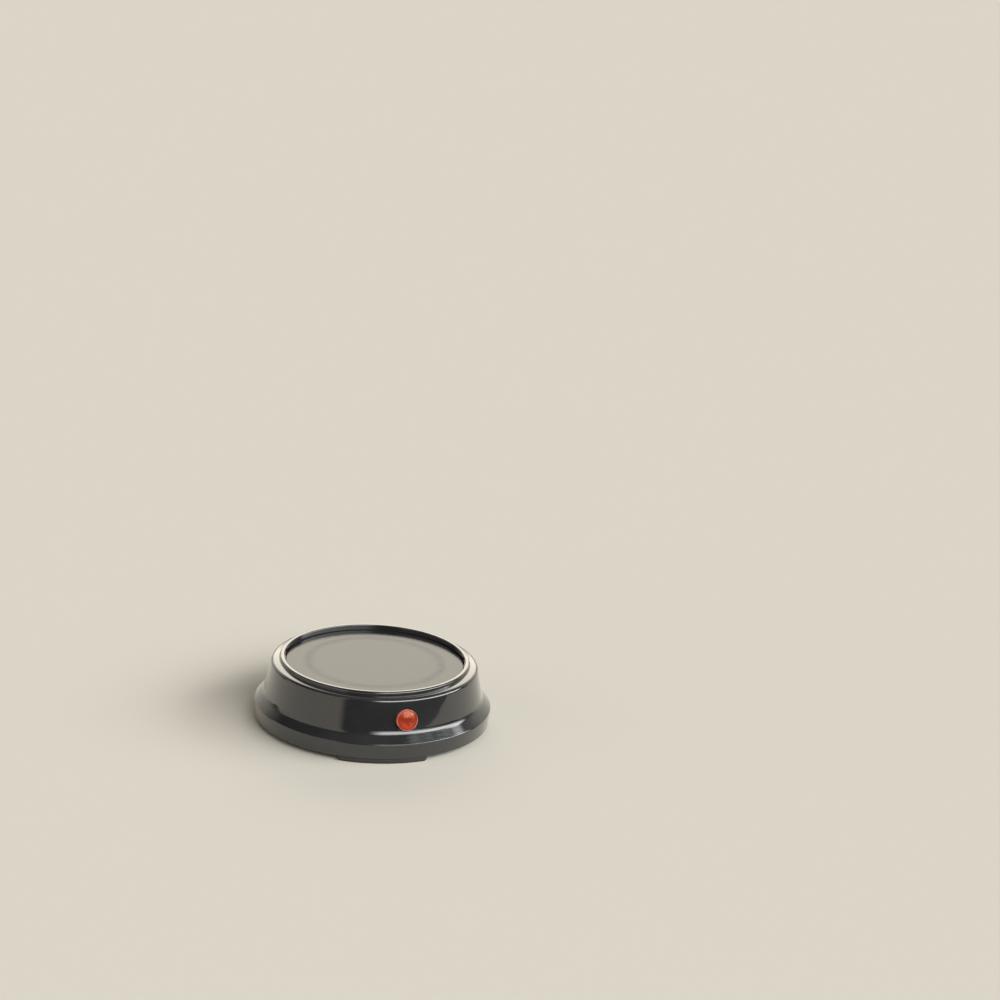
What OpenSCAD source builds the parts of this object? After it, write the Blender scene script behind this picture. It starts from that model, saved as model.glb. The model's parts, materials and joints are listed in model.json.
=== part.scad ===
// Electric mug warmer: a round heated plate in a moulded housing, with a sprung and
// lit push button on the front wall, a cord gland at the back and three arc feet.
// Millimetres. +Z is up, the origin lies on the table under the plate's centre,
// and the button faces -Y. Azimuths are counted from -Y towards +X.

/* [Housing] */
// Diameter at the sharp edge of the skirt
base_d = 110; // [108:1:130]
// Height of the lower band, from its bottom rim to the sharp edge
band_h = 7; // [7:0.1:12]
// How far the band leans in towards its bottom rim
band_draft = 0.5; // [0.2:0.1:1.5]
// Rise of the skirt from the sharp edge to the foot of the wall
skirt_h = 4.3; // [4:0.1:8]
// Width of the skirt from the sharp edge in to the foot of the wall
skirt_w = 4.15; // [3.25:0.05:6]
// Height of the wall from its foot to the shoulder
wall_h = 14.95; // [14:0.05:20]
// Lean of the wall from upright, in degrees
wall_tilt = 11; // [10:1:16]
// Radius of the shoulder
shoulder_round = 1.7; // [1:0.1:3.2]
// Rise of the top from the shoulder to the collar
shoulder_rise = 0.55; // [0.2:0.05:1]
// Wall thickness of the moulding
shell_t = 2.4; // [1.8:0.1:2.8]
// Height of the collar above the top
collar_h = 1.8; // [1.2:0.1:4]
// Width of the collar's crest
collar_w = 2.2; // [1.8:0.1:3]
// Thickness of the ledge that carries the plate
ledge_t = 2; // [1.4:0.1:2.4]

/* [Warming plate] */
// Diameter of the plate
plate_d = 83; // [78:1:84]
// Depth of the plate below the collar's crest
plate_recess = 2.5; // [1.5:0.1:3]
// Thickness of the plate
plate_t = 1.2; // [1:0.1:2]
// Gap between the plate's edge and the collar
plate_gap = 0.4; // [0.3:0.05:1]
// Width of the ledge under the plate's rim
seat_w = 2.3; // [1.8:0.1:4]
// Depth of the plate's locating flange
flange_h = 1.7; // [1:0.1:2]
// Thickness of the plate's seal
gasket_t = 0.5; // [0.3:0.1:1]
// Diameter of the stud under the plate
stud_d = 4; // [3:0.5:5]

/* [Heater] */
// Thickness of each mica sheet
mica_t = 0.4; // [0.2:0.1:0.8]
// Thickness of the heating track
track_t = 0.4; // [0.2:0.1:0.8]
// Width of the heating track
track_w = 1.6; // [1:0.1:2.4]
// Number of turns of the heating track
track_turns = 6; // [4:1:7]
// Thickness of the pressure plate
pressure_t = 0.8; // [0.5:0.1:1.2]
// Thickness of the insulation
insulation_t = 3; // [2:0.5:4]
// Thickness of the heat shield
shield_t = 0.6; // [0.4:0.1:1]
// Free width between the plate's ledge and the heat shield's rim
shield_gap = 5.2; // [4.6:0.1:8]
// Width of the clamp bracket
bracket_w = 14; // [10:1:18]
// Thickness of the clamp bracket
bracket_t = 1.2; // [0.8:0.1:1.6]
// Diameter of the thermal fuse
fuse_d = 4; // [3:0.5:4.5]
// Length of the thermal fuse's body
fuse_l = 11; // [9:1:14]

/* [Button] */
// Diameter of the button's face
button_d = 10.1; // [8:0.1:10.6]
// Height of the button's face above the wall
button_proud = 1.9; // [1.6:0.1:3]
// Rise of the button's lens above its rim
button_dome = 0.5; // [0.3:0.05:0.7]
// Width of the button's rim
button_rim_w = 0.6; // [0.45:0.05:0.9]
// Height of the button's axis above the foot of the wall
button_up = 5.8; // [5.6:0.05:6.2]
// Travel of the button
button_travel = 1.5; // [0.8:0.1:1.6]
// Width of the button's stop flange
stop_w = 0.9; // [0.6:0.1:1]
// Depth of the guide behind the wall
guide_l = 7.6; // [7.4:0.1:9]
// Wire diameter of the button's spring
spring_wire = 0.5; // [0.4:0.1:0.6]
// Number of turns of the spring
spring_turns = 6; // [4:1:8]
// Width of the switch
switch_w = 8.5; // [7:0.5:10]
// Height of the switch
switch_h = 6; // [5:0.1:6.2]
// Length of the switch
switch_l = 9.3; // [8:0.1:11]

/* [Base cover] */
// Gap between the table and the band, which is the feet's height
foot_h = 2.4; // [2.2:0.1:5]
// Thickness of the cover
cover_t = 2; // [1.6:0.1:3]
// Thickness of the band's lip round the cover
lip_t = 1.3; // [1:0.1:1.4]
// Half angle of each arc foot, in degrees
foot_half = 22; // [12:1:30]
// Turn of the feet from the button's side, in degrees
foot_turn = -12; // [-30:0.5:-11]
// Radial width of each foot
foot_w = 5; // [4:0.1:7]
// Height of the rubber pad below its foot
pad_proud = 0.6; // [0.5:0.1:1.5]
// Number of vents in the cover
vent_count = 24; // [12:1:30]
// Width of each vent
vent_w = 2; // [1:0.1:3]
// Length of each vent
vent_l = 10; // [6:0.5:12]

/* [Cord gland] */
// Diameter of the cord's hole
cord_hole_d = 4.6; // [4:0.1:5.4]
// Wall of the gland's neck
gland_wall = 0.7; // [0.6:0.1:1]
// Height of the gland's lips above its neck
gland_lip = 0.5; // [0.4:0.1:0.7]
// Thickness of the gland's lips
gland_lip_t = 1.2; // [0.8:0.1:1.6]

/* [Hidden] */
$fn = 96;

// Clearances between pieces
running_gap = 0.3;    // between a moving piece and its guide
seat_gap = 0.1;       // between pieces that are assembled and stay put
thread_gap = 0.05;    // between a screw or stud and its hole
carrier_gap = 3.2;    // between the heat shield's rim and the switch's carrier
bracket_end_gap = 1.4; // between the clamp bracket's ends and the wall
cut = 1;              // how far a cutting tool runs past the faces that it cuts

// Heights of the housing, from the table up
z_edge = foot_h + band_h;
z_wall = z_edge + skirt_h;
z_shoulder = z_wall + wall_h;
z_top = z_shoulder + shoulder_rise;
z_crest = z_top + collar_h;

// Heights of the plate and its ledge, from the crest down
z_plate = z_crest - plate_recess;
z_plate_under = z_plate - plate_t;
z_ledge = z_plate_under - gasket_t;
z_ledge_under = z_ledge - ledge_t;

// Radii of the housing
edge_r = base_d / 2;
band_r = edge_r - band_draft;
wall_r = edge_r - skirt_w;
function outer_r(z) = wall_r - (z - z_wall) * tan(wall_tilt);
plate_r = plate_d / 2;
collar_in = plate_r + plate_gap;
collar_out = collar_in + collar_w;
ledge_in = plate_r - seat_w;
under_ledge_r = outer_r(z_ledge_under) - shell_t / cos(wall_tilt);

// Heights of the heater, from the plate down
z_mica_upper = z_plate_under - mica_t;
z_track = z_mica_upper - track_t;
z_mica_lower = z_track - mica_t;
z_pressure = z_mica_lower - pressure_t;
z_insulation = z_pressure - insulation_t;
z_shield = z_insulation - shield_t;
z_bracket = z_shield - bracket_t;
stud_hole_r = stud_d / 2 + 0.15;
washer_t = 0.8;
nut_t = 3.2;
nut_flats = 1.75 * stud_d;
stud_tail = 2;
z_washer = z_bracket - washer_t;
z_nut = z_washer - nut_t;
z_stud = z_nut - stud_tail;

// The thermal fuse under the shield
fuse_y = 16;
sleeve_t = 0.4;
clip_t = 0.6;
clip_w = 6;
clip_foot = 4.5;
fuse_r = fuse_d / 2;
fuse_pin_l = 4;
fuse_pin_r = 0.5;
sleeve_r = fuse_r + seat_gap + sleeve_t;
strap_in = sleeve_r + seat_gap;
strap_out = strap_in + clip_t;
rivet_r = 1.1;
rivet_y = strap_out + (clip_foot - clip_t) / 2;
z_fuse = z_shield - sleeve_r;

// The button's axis stands square to the wall and points out of it
button_z = z_wall + button_up;
button_axis_r = outer_r(button_z);
button_r = button_d / 2;
bore_r = button_r + running_gap;
stop_r = button_r + stop_w;
guide_in_r = stop_r + 0.4;
guide_t = 1.2;
guide_out_r = guide_in_r + guide_t;
stop_t = 0.8;
cap_t = 0.9;
cap_face_t = 1.5;
rim_step = 0.2;
s_seat = -shell_t;
s_stop = s_seat - running_gap;
s_cap = s_stop - stop_t;
s_guide = s_seat - guide_l;
carrier_t = 1.2;
s_carrier = s_guide - carrier_t;
s_switch = s_carrier - switch_l;
blade_l = 4;
s_blade = s_switch - blade_l;
stem_r = 1.25;
stem_dip = 2;
plunger_t = 0.8;
s_plunger = button_proud - cap_face_t - plunger_t;
cavity_r = button_r - cap_t;
spring_r = stem_r + 0.9 + spring_wire / 2;
pillar_r = 2.4;
pillar_x = guide_out_r + pillar_r - 0.4;
carrier_screw_r = 1;
carrier_screw_l = 5;
carrier_head_r = 1.9;
carrier_head_h = 1.4;
lamp_r = 1.5;
lamp_y = -(switch_h / 2 + lamp_r + seat_gap);
lamp_tip = 3.6;
lamp_base = 2.4;

// Radii of the heater, which stays inside the plate's ledge and clear of the carrier
carrier_r = button_axis_r - guide_out_r * sin(wall_tilt) + s_carrier * cos(wall_tilt);
shield_r = min(ledge_in - shield_gap, carrier_r - carrier_gap);
pressure_r = shield_r - 2;
mica_r = pressure_r - 1;
mica_in = 5;
insulation_r = pressure_r - pressure_t - 0.7;
bracket_reach = under_ledge_r - bracket_end_gap;

// The heating track's ends
track_gap = 12;
tab_x = track_gap / 2 + track_w / 2;
barrel_r = 1.3;
barrel_l = 4;
tab_reach = shield_r + running_gap + 2 * barrel_r;

// The base cover and what it carries
z_cover = foot_h;
z_cover_top = z_cover + cover_t;
rabbet_r = band_r - lip_t;
cover_r = rabbet_r - 0.25;
foot_inset = 0.2;
foot_out = band_r - foot_inset;
foot_in = foot_out - foot_w;
foot_azimuths = [for (i = [0:2]) foot_turn + i * 120];
pad_pocket = 0.6;
pad_margin = 0.4;
screw_azimuths = [for (a = foot_azimuths) a + 60];
boss_r = 3.4;
boss_inset = 2;
boss_at_r = under_ledge_r - boss_inset;
post_h = 2;
z_boss = z_cover_top + post_h;
post_r = 4.2;
cover_screw_r = 1.25;
cover_screw_l = 9.5;
cover_head_r = 2.8;
cover_head_h = 1.8;
screw_floor = 1.4;
pilot_depth = cover_screw_l + 1.5;

// The cord gland in the band, opposite the button
gland_neck_r = cord_hole_d / 2 + gland_wall;
gland_lip_r = gland_neck_r + gland_lip;
gland_z = foot_h + gland_lip_r;
band_inner_r = band_r - shell_t;
gland_seat = band_r + (gland_z - foot_h) / band_h * band_draft - seat_gap;
gland_inner = sqrt(pow(band_inner_r, 2) - pow(gland_lip_r, 2)) - seat_gap;
gland_outer = gland_seat + gland_lip_t;

// ---- Outlines with rounded corners -------------------------------------------

function unit(v) = v / norm(v);

// Points of the arc that rounds corner b, between a and c, with radius f
function corner_arc(a, b, c, f) =
    let (
        u = unit(a - b),
        w = unit(c - b),
        half = acos(u * w) / 2,
        p = b + u * f / tan(half),
        q = b + w * f / tan(half),
        o = b + unit(u + w) * f / sin(half),
        start = atan2(p[1] - o[1], p[0] - o[0]),
        end = atan2(q[1] - o[1], q[0] - o[0]),
        turn = (end - start + 540) % 360 - 180,
        steps = max(3, ceil(abs(turn) * (f + 1) / 40))
    )
    [for (i = [0:steps]) o + f * [cos(start + turn * i / steps), sin(start + turn * i / steps)]];

function xy(p) = [p[0], p[1]];

// Closed outline through [x, y, corner radius] points
function rounded(points) =
    let (n = len(points))
    [for (i = [0:n - 1])
        each points[i][2] == 0
            ? [xy(points[i])]
            : corner_arc(xy(points[(i + n - 1) % n]), xy(points[i]),
                         xy(points[(i + 1) % n]), points[i][2])];

// Open line of [x, y] points moved sideways by t, with mitred corners
function left_of(a, b) = let (d = unit(b - a)) [-d[1], d[0]];
function moved(line, t) =
    let (n = len(line))
    [for (i = [0:n - 1])
        let (
            before = left_of(line[max(i - 1, 0)], line[max(i, 1)]),
            after = left_of(line[min(i, n - 2)], line[min(i + 1, n - 1)])
        )
        line[i] + (before + after) / (1 + before * after) * t];

module lathe(points) {
    rotate_extrude()
        polygon(rounded(points));
}

module ring(r_in, r_out, z, h) {
    translate([0, 0, z])
        difference() {
            cylinder(r = r_out, h = h);
            translate([0, 0, -cut])
                cylinder(r = r_in, h = h + 2 * cut);
        }
}

// Places children at an azimuth, with -Y pointing outwards
module at_azimuth(azimuth, r = 0) {
    rotate([0, 0, azimuth])
        translate([0, -r, 0])
            children();
}

// Slice of children within an angle to each side of an azimuth
module sector(azimuth, half_angle, reach, z, h) {
    side = reach / cos(half_angle);
    intersection() {
        children();
        rotate([0, 0, azimuth])
            translate([0, 0, z])
                linear_extrude(h)
                    polygon([[0, 0],
                             [-side * sin(half_angle), -reach],
                             [side * sin(half_angle), -reach]]);
    }
}

// ---- Tubes swept along a line -------------------------------------------------

function spline_point(a, b, c, d, t) =
    0.5 * ((2 * b) + (c - a) * t + (2 * a - 5 * b + 4 * c - d) * t * t
           + (3 * b - a - 3 * c + d) * t * t * t);

// Smooth line through points, with a number of steps from each point to the next
function smooth(points, steps) =
    let (n = len(points))
    [for (i = [0:n - 2])
        for (k = [0:steps - 1])
            spline_point(points[max(i - 1, 0)], points[i], points[i + 1],
                         points[min(i + 2, n - 1)], k / steps),
     points[n - 1]];

function tangent(line, i) =
    unit(line[min(i + 1, len(line) - 1)] - line[max(i - 1, 0)]);

// Normals carried along the line without twist
function side_after(side, t) = unit(side - t * (side * t));
function sides(line, i, side) =
    i == len(line)
        ? []
        : let (s = side_after(side, tangent(line, i))) concat([s], sides(line, i + 1, s));

module tube(line, r, faces) {
    n = len(line);
    start = tangent(line, 0);
    first = abs(start[2]) < 0.9 ? [0, 0, 1] : [1, 0, 0];
    normals = sides(line, 0, first);
    points = [for (i = [0:n - 1])
        let (u = normals[i], v = cross(tangent(line, i), u))
        for (k = [0:faces - 1])
            line[i] + r * (u * cos(360 * k / faces) + v * sin(360 * k / faces))];
    walls = [for (i = [0:n - 2])
        for (k = [0:faces - 1])
            let (next = (k + 1) % faces)
            each [[i * faces + k, (i + 1) * faces + k, (i + 1) * faces + next],
                  [i * faces + k, (i + 1) * faces + next, i * faces + next]]];
    low = [for (k = [0:faces - 1]) k];
    high = [for (k = [faces - 1:-1:0]) (n - 1) * faces + k];
    polyhedron(points, concat([low], walls, [high]));
}

// ---- Housing and cover ----------------------------------------------------------

// Places children on the button's axis, with +Z pointing out of the wall
module on_button() {
    translate([0, -button_axis_r, button_z])
        rotate([90 - wall_tilt, 0, 0])
            children();
}

// The same move for a single point
function button_point(x, y, s) =
    [x,
     -button_axis_r + y * sin(wall_tilt) - s * cos(wall_tilt),
     button_z + y * cos(wall_tilt) + s * sin(wall_tilt)];

// Places children on the gland's axis, with +Z pointing out of the back
module on_gland() {
    translate([0, 0, gland_z])
        rotate([-90, 0, 0])
            children();
}

skin_line = [
    [band_r, foot_h],
    [edge_r, z_edge],
    [wall_r, z_wall],
    [outer_r(z_shoulder), z_shoulder]
];
inside_line = moved(skin_line, shell_t);
rabbet_z = z_cover_top;
band_inside = inside_line[0][0]
    + (inside_line[1][0] - inside_line[0][0]) * (rabbet_z - foot_h) / band_h;

module housing_shell() {
    edge_round = 0.75;
    foot_round = 5;
    lathe([
        [band_r, foot_h, 0.3],
        [edge_r, z_edge, edge_round],
        concat(skin_line[2], [foot_round]),
        concat(skin_line[3], [shoulder_round]),
        [collar_out, z_top, 0.4],
        [collar_out, z_crest, 0.8],
        [collar_in, z_crest, 0.5],
        [collar_in, z_ledge, 0],
        [ledge_in, z_ledge, 0.3],
        [ledge_in, z_ledge_under, 0],
        [under_ledge_r, z_ledge_under, 0.8],
        concat(inside_line[2], [0.8]),
        concat(inside_line[1], [0.8]),
        [band_inside, rabbet_z, 0],
        [rabbet_r, rabbet_z, 0],
        [rabbet_r, foot_h, 0]
    ]);
}

// Thin web that ties the ledge to the wall
module gusset(azimuth) {
    web_t = 1.2;
    web_h = 7;
    root = 0.6;
    at_azimuth(azimuth)
        translate([-web_t / 2, 0, 0])
            rotate([90, 0, 90])
                linear_extrude(web_t)
                    polygon([
                        [-ledge_in - root, z_ledge_under + root],
                        [-ledge_in - root, z_ledge_under],
                        [-outer_r(z_ledge_under - web_h) + shell_t, z_ledge_under - web_h],
                        [-outer_r(z_ledge_under - web_h) + root, z_ledge_under - web_h],
                        [-under_ledge_r - root, z_ledge_under + root]
                    ]);
}

gusset_azimuths = [28, 72, 110, 138, 200, 222, 250, 312, 332];

module housing() {
    skin = 1.6;
    color([0.07, 0.07, 0.075])
        difference() {
            union() {
                housing_shell();
                for (a = gusset_azimuths)
                    gusset(a);
                for (a = screw_azimuths)
                    at_azimuth(a, boss_at_r)
                        translate([0, 0, z_boss])
                            cylinder(r = boss_r, h = z_ledge_under - z_boss + ledge_t / 2);
                on_button()
                    translate([0, 0, s_guide])
                        cylinder(r = guide_out_r, h = -s_guide - skin);
                for (side = [-1, 1])
                    on_button()
                        translate([side * pillar_x, 0, s_guide])
                            cylinder(r = pillar_r, h = -s_guide - skin - 0.6);
            }
            // the well round the heater stays clear
            translate([0, 0, z_ledge_under])
                cylinder(r = ledge_in, h = ledge_t);
            // the button's bore and the wider guide behind it
            on_button() {
                translate([0, 0, s_guide - cut])
                    cylinder(r = guide_in_r, h = s_seat - s_guide + cut);
                translate([0, 0, s_seat - cut])
                    cylinder(r = bore_r, h = shell_t + button_proud + cut);
                for (side = [-1, 1])
                    translate([side * pillar_x, 0, s_guide - cut])
                        cylinder(r = carrier_screw_r + thread_gap, h = carrier_screw_l + cut);
            }
            // the screws' pilot holes
            for (a = screw_azimuths)
                at_azimuth(a, boss_at_r)
                    translate([0, 0, z_boss - cut])
                        cylinder(r = cover_screw_r + thread_gap, h = pilot_depth + cut);
            // the notch for the gland's neck and the seat for its outer lip
            on_gland() {
                translate([0, 0, band_inner_r - 2 * cut])
                    cylinder(r = gland_neck_r + seat_gap, h = shell_t + band_draft + 4 * cut);
                translate([0, 0, gland_seat])
                    cylinder(r = gland_lip_r + seat_gap, h = shell_t);
            }
            translate([-gland_neck_r - seat_gap, band_inner_r - 2 * cut, foot_h - cut])
                cube([2 * (gland_neck_r + seat_gap), shell_t + band_draft + 4 * cut,
                      gland_lip_r + cut]);
            translate([-gland_lip_r - seat_gap, gland_seat, foot_h - cut])
                cube([2 * (gland_lip_r + seat_gap), shell_t, gland_lip_r + cut]);
        }
}

module vent_slot() {
    linear_extrude(cover_t + 2 * cut) {
        square([vent_w, vent_l - vent_w], center = true);
        for (end = [-1, 1])
            translate([0, end * (vent_l - vent_w) / 2])
                circle(d = vent_w);
    }
}

module base_cover() {
    spigot_t = 1.2;
    spigot_h = 3;
    spigot_r = band_inside - 2 * seat_gap;
    vent_r = foot_in - 13;
    rib_t = 1;
    rib_h = 1.4;
    rib_azimuths = [0, 45, 135, 180, 225, 270, 315];
    hub_r = 9;
    label_r = vent_r - vent_l / 2 - 3;
    label_depth = 0.4;
    cord_post_r = 1.3;
    cord_post_h = 6;
    cord_post_y = 1.95;
    cord_post_pitch = 3.4;
    head_floor = z_boss - screw_floor;
    color([0.09, 0.085, 0.08])
        difference() {
            union() {
                lathe([
                    [0, z_cover, 0],
                    [cover_r, z_cover, 0.4],
                    [cover_r, z_cover_top, 0],
                    [spigot_r, z_cover_top, 0],
                    [spigot_r, z_cover_top + spigot_h, 0.3],
                    [spigot_r - spigot_t, z_cover_top + spigot_h, 0.3],
                    [spigot_r - spigot_t, z_cover_top, 0],
                    [0, z_cover_top, 0]
                ]);
                // the arc feet, which reach out under the band's rim
                for (a = foot_azimuths)
                    sector(a, foot_half, band_r, pad_proud, foot_h)
                        lathe([
                            [foot_in, pad_proud, 0.3],
                            [foot_out, pad_proud, 0.3],
                            [foot_out, z_cover - seat_gap, 0],
                            [cover_r - foot_inset, z_cover - seat_gap, 0],
                            [cover_r - foot_inset, z_cover + rib_t, 0],
                            [foot_in, z_cover + rib_t, 0]
                        ]);
                // the posts under the housing's bosses
                for (a = screw_azimuths)
                    at_azimuth(a, boss_at_r)
                        translate([0, 0, z_cover])
                            cylinder(r = post_r, h = z_boss - z_cover);
                // stiffening ribs on the inside
                ring(hub_r, hub_r + rib_t, z_cover, cover_t + rib_h);
                ring(vent_r + vent_l / 2 + 1.5, vent_r + vent_l / 2 + 1.5 + rib_t, z_cover,
                     cover_t + rib_h);
                for (a = rib_azimuths)
                    rotate([0, 0, a])
                        translate([hub_r + rib_t / 2, -rib_t / 2, z_cover])
                            cube([vent_r - vent_l / 2 - 1 - hub_r, rib_t, cover_t + rib_h]);
                // the posts that the cord is woven between
                for (i = [0:2])
                    translate([(i % 2 == 0 ? 1 : -1) * (cord_hole_d / 2 + cord_post_r - 0.5),
                               gland_inner - gland_lip_t - cord_post_y - i * cord_post_pitch,
                               z_cover])
                        cylinder(r = cord_post_r, h = cover_t + cord_post_h);
            }
            // the vents
            for (i = [0:vent_count - 1])
                rotate([0, 0, (i + 0.5) * 360 / vent_count])
                    translate([0, vent_r, z_cover - cut])
                        vent_slot();
            // the shallow round panel in the middle, bare
            translate([0, 0, z_cover - cut])
                cylinder(r = label_r, h = label_depth + cut);
            // the pockets for the pads
            for (a = foot_azimuths)
                pad(a, pad_proud - cut, pad_pocket + cut, 0);
            // the sunk screw holes
            for (a = screw_azimuths)
                at_azimuth(a, boss_at_r) {
                    translate([0, 0, z_cover - cut])
                        cylinder(r = cover_head_r + 0.4, h = head_floor - z_cover + cut);
                    translate([0, 0, z_cover])
                        cylinder(r = cover_screw_r + 0.3, h = z_boss);
                }
            // room for the gland
            translate([-gland_lip_r - seat_gap, gland_inner - gland_lip_t - seat_gap,
                       z_cover - cut])
                cube([2 * (gland_lip_r + seat_gap), edge_r, z_boss + post_h]);
        }
}

// One rubber pad, smaller all round than its foot
module pad(azimuth, z, h, gap) {
    inset = pad_margin + gap;
    inset_angle = atan(inset / foot_in);
    sector(azimuth, foot_half - inset_angle, band_r, z, h)
        ring(foot_in + inset, foot_out - inset, z, h);
}

module foot_pads() {
    color([0.1, 0.095, 0.09])
        for (a = foot_azimuths)
            pad(a, 0, pad_proud + pad_pocket, seat_gap);
}

// Pan-head screw with a cross recess, its head's underside at z = 0, pointing +Z
module pan_screw(shank_r, length, head_r, head_h) {
    slot_w = head_r * 0.32;
    slot_l = head_r * 1.15;
    difference() {
        union() {
            cylinder(r = shank_r, h = length);
            rotate_extrude()
                polygon(rounded([
                    [0, -head_h, 0],
                    [head_r, -head_h, head_h * 0.6],
                    [head_r, 0, 0],
                    [0, 0, 0]
                ]));
        }
        for (turn = [0, 90])
            rotate([0, 0, turn])
                translate([-slot_l / 2, -slot_w / 2, -head_h - cut])
                    cube([slot_l, slot_w, head_h * 0.6 + cut]);
    }
}

module cover_screws() {
    color("silver")
        for (a = screw_azimuths)
            at_azimuth(a, boss_at_r)
                translate([0, 0, z_boss - screw_floor])
                    pan_screw(cover_screw_r, cover_screw_l, cover_head_r, cover_head_h);
}

module cord_gland() {
    color([0.12, 0.12, 0.12])
        on_gland()
            difference() {
                union() {
                    translate([0, 0, gland_inner - gland_lip_t])
                        cylinder(r = gland_neck_r, h = gland_outer - gland_inner + gland_lip_t);
                    translate([0, 0, gland_inner - gland_lip_t])
                        cylinder(r = gland_lip_r, h = gland_lip_t);
                    translate([0, 0, gland_seat])
                        rotate_extrude()
                            polygon(rounded([
                                [0, 0, 0],
                                [gland_lip_r, 0, 0],
                                [gland_lip_r, gland_lip_t, gland_lip_t * 0.6],
                                [0, gland_lip_t, 0]
                            ]));
                }
                translate([0, 0, gland_inner - gland_lip_t - cut])
                    cylinder(d = cord_hole_d, h = gland_outer);
            }
}

// ---- Plate and heater -------------------------------------------------------------

module warming_plate() {
    flange_out = ledge_in - plate_gap;
    flange_t = 0.7;
    color([0.05, 0.05, 0.055])
        union() {
            lathe([
                [0, z_plate, 0],
                [plate_r, z_plate, 0.5],
                [plate_r, z_plate_under, 0.2],
                [flange_out, z_plate_under, 0],
                [flange_out, z_plate_under - flange_h, 0],
                [flange_out - flange_t, z_plate_under - flange_h, 0],
                [flange_out - flange_t, z_plate_under, 0],
                [0, z_plate_under, 0]
            ]);
            translate([0, 0, z_stud])
                cylinder(d = stud_d, h = z_plate_under - z_stud + plate_t / 2);
        }
}

module plate_gasket() {
    color([0.55, 0.2, 0.15])
        ring(ledge_in + 0.1, plate_r, z_ledge, gasket_t);
}

module mica_sheet(z) {
    color([0.78, 0.72, 0.55])
        ring(mica_in, mica_r, z, mica_t);
}

module mica_upper() {
    mica_sheet(z_mica_upper);
}

module mica_lower() {
    mica_sheet(z_mica_lower);
}

// One flat track: open rings joined end to end on alternate sides of a gap, with a
// straight way back from the innermost ring, and two tabs that stick out
module heating_element() {
    pitch = (mica_r - 1.5 - mica_in - 4) / (track_turns - 1);
    function turn_r(i) = mica_r - 1.5 - i * pitch;
    function side_y(i) = sqrt(pow(turn_r(i), 2) - pow(tab_x, 2));
    last = track_turns - 1;
    last_side = track_turns % 2 == 0 ? 1 : -1;
    color([0.62, 0.6, 0.56])
        translate([0, 0, z_track])
            linear_extrude(track_t) {
                difference() {
                    for (i = [0:last])
                        difference() {
                            circle(r = turn_r(i));
                            circle(r = turn_r(i) - track_w);
                        }
                    translate([-track_gap / 2, 0])
                        square([track_gap, mica_r]);
                }
                for (i = [0:last - 1])
                    translate([(i % 2 == 0 ? -1 : 1) * tab_x - track_w / 2,
                               side_y(i + 1) - track_w])
                        square([track_w, side_y(i) - side_y(i + 1) + track_w]);
                // the way back and its tab
                translate([-track_w / 2, side_y(last) - track_w])
                    square([track_w, tab_reach - side_y(last) + track_w]);
                translate([min(0, last_side * tab_x), side_y(last) - track_w])
                    square([tab_x, track_w]);
                // the outer ring's tab
                translate([tab_x - track_w / 2, side_y(0) - track_w])
                    square([track_w, tab_reach - side_y(0) + track_w]);
            }
}

module pressure_plate() {
    rim_h = 2;
    bead_r = pressure_r * 0.6;
    color([0.72, 0.72, 0.74])
        difference() {
            lathe([
                [0, z_pressure, 0],
                [0, z_pressure + pressure_t, 0],
                [pressure_r, z_pressure + pressure_t, pressure_t * 0.9],
                [pressure_r, z_pressure - rim_h, 0],
                [pressure_r - pressure_t, z_pressure - rim_h, 0],
                [pressure_r - pressure_t, z_pressure, 0]
            ]);
            translate([0, 0, z_pressure - cut])
                cylinder(r = stud_hole_r, h = pressure_t + 2 * cut);
            // weight-saving holes round the middle
            for (a = [0:60:300])
                rotate([0, 0, a])
                    translate([bead_r, 0, z_pressure - cut])
                        cylinder(r = 2.5, h = pressure_t + 2 * cut);
        }
}

module insulation_disc() {
    color([0.9, 0.88, 0.82])
        ring(stud_hole_r, insulation_r, z_insulation, insulation_t);
}

module heat_shield() {
    rim_h = 2;
    color([0.8, 0.8, 0.82])
        difference() {
            lathe([
                [0, z_shield, 0],
                [shield_r, z_shield, shield_t * 1.5],
                [shield_r, z_shield + shield_t + rim_h, 0],
                [shield_r - shield_t, z_shield + shield_t + rim_h, 0],
                [shield_r - shield_t, z_shield + shield_t, 0.3],
                [0, z_shield + shield_t, 0]
            ]);
            translate([0, 0, z_shield - cut])
                cylinder(r = stud_hole_r, h = shield_t + 2 * cut);
            for (side = [-1, 1])
                translate([0, fuse_y + side * rivet_y, z_shield - cut])
                    cylinder(r = rivet_r + thread_gap, h = shield_t + 2 * cut);
        }
}

// A strip across the well: its ends bear up on the ledge and its middle on the shield
module clamp_bracket() {
    reach = bracket_reach;
    knee = shield_r + 1;
    slope = 1.6;
    hole_x = shield_r / 2;
    color([0.7, 0.7, 0.72])
        difference() {
            intersection() {
                rotate([90, 0, 0])
                    translate([0, 0, -bracket_w / 2])
                        linear_extrude(bracket_w)
                            polygon([
                                [-reach, z_ledge_under],
                                [-knee - slope, z_ledge_under],
                                [-knee, z_shield],
                                [knee, z_shield],
                                [knee + slope, z_ledge_under],
                                [reach, z_ledge_under],
                                [reach, z_ledge_under - bracket_t],
                                [knee + slope + bracket_t / 2, z_ledge_under - bracket_t],
                                [knee + bracket_t / 2, z_bracket],
                                [-knee - bracket_t / 2, z_bracket],
                                [-knee - slope - bracket_t / 2, z_ledge_under - bracket_t],
                                [-reach, z_ledge_under - bracket_t]
                            ]);
                translate([0, 0, z_bracket - cut])
                    cylinder(r = reach, h = z_ledge_under - z_bracket + 2 * cut);
            }
            translate([0, 0, z_bracket - cut])
                cylinder(r = stud_hole_r, h = bracket_t + 2 * cut);
            for (side = [-1, 1])
                translate([side * hole_x, 0, z_bracket - cut])
                    cylinder(r = bracket_w / 4, h = bracket_t + 2 * cut);
        }
}

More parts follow.
